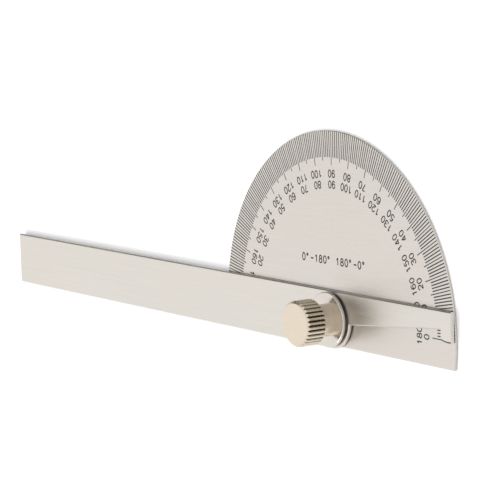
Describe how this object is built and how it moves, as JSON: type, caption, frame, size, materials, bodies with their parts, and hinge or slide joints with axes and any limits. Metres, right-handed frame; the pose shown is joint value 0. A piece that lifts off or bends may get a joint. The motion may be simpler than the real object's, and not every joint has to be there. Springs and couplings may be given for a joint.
{
  "type": "protractor with swinging arm",
  "caption": "Semicircular steel protractor head with an etched degree scale and a long flat swinging arm locked by a knurled thumb nut at the pivot.",
  "frame": {"origin": "on the pivot axis, at the back face of the head plate, which is also the face the tool lies on", "axes": "+Z out of the scale face along the pivot axis, +Y from the pivot to the 90 degree mark, +X from the pivot to the 0 degree mark; the arm's long end runs to -X"},
  "size_m": [0.191, 0.0508, 0.0121],
  "materials": {
    "head_steel": "brushed along the base, satin",
    "arm_steel": "brushed lengthwise, satin",
    "etch_fill": "black fill of the etched marks",
    "stud_steel": "turned",
    "shim_plastic": "thin translucent white sheet",
    "spring_steel": "rolled strip",
    "polished_steel": "polished",
    "nickel_plate": "warm nickel plate, satin face, knurled grip"
  },
  "bodies": {
    "head": {"head_plate": "head_steel", "pivot_stud": "stud_steel", "shim_washer": "shim_plastic", "ticks_fine": "etch_fill", "ticks_mid": "etch_fill", "ticks_main": "etch_fill", "numbers_outer": "etch_fill", "numbers_inner": "etch_fill", "range_note": "etch_fill"},
    "arm": {"arm": "arm_steel", "index_line": "etch_fill", "spring_washer": "spring_steel"},
    "washer": {"flange_washer": "polished_steel"},
    "nut": {"thumb_nut": "nickel_plate"}
  },
  "joints": [
    {"name": "arm_pivot", "type": "hinge", "parent": "head", "child": "arm", "pos_m": [0, 0, 0.0013], "axis": [0, 0, 1], "continuous": true},
    {"name": "nut_travel", "type": "slide", "parent": "head", "child": "washer", "axis": [0, 0, 1], "range_m": [0, 0.0014]},
    {"name": "nut_turn", "type": "hinge", "parent": "washer", "child": "nut", "pos_m": [0, 0, 0.0095], "axis": [0, 0, 1], "range_deg": [0, 720]}
  ],
  "couplings": [
    {"joint": "nut_turn", "follows": "nut_travel", "rad_per_m": 8976}
  ]
}
